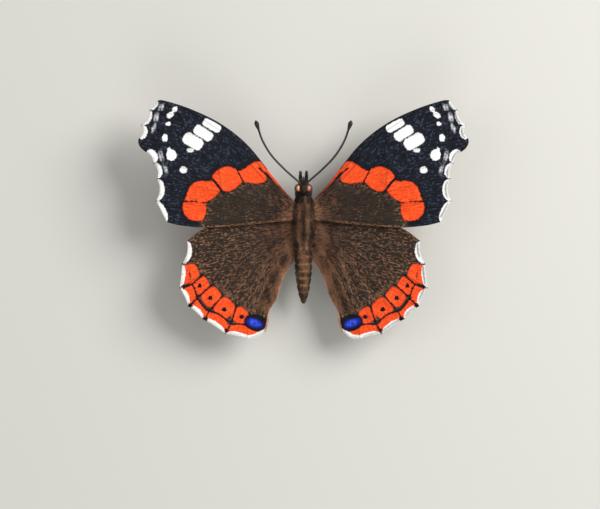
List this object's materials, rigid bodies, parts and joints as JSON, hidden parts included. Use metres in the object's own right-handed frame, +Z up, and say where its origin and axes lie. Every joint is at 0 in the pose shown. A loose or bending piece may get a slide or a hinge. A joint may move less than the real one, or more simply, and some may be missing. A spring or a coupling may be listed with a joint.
{
  "type": "red admiral butterfly, still model",
  "caption": "Life-size red admiral resting on the floor with wings spread flat: veined toothed wings, furry body, clubbed feelers, coiled tongue and walking legs.",
  "frame": {"origin": "on the floor under the middle of the whole butterfly", "axes": "+X to the butterfly's right across the wings, +Y forwards to the head, +Z up"},
  "size_m": [0.061, 0.0442, 0.0109],
  "materials": {
    "body_fur": "short dark brown fur and scales",
    "eye": "amber brown, finely faceted",
    "horn": "dark horn with fine scales",
    "wing": "scaled: black with a red-orange band, white spots and fringe, blue tail spot"
  },
  "bodies": {
    "root": {"head": "body_fur", "thorax": "body_fur", "abdomen": "body_fur", "palp_right": "body_fur", "palp_left": "body_fur", "eye_right": "eye", "eye_left": "eye", "antenna_right": "horn", "antenna_left": "horn", "proboscis": "horn", "leg_fore_right": "body_fur", "leg_fore_left": "body_fur", "leg_mid_right": "horn", "leg_mid_left": "horn", "leg_hind_right": "horn", "leg_hind_left": "horn", "forewing_right": "wing", "forewing_left": "wing", "hindwing_right": "wing", "hindwing_left": "wing"}
  },
  "joints": []
}
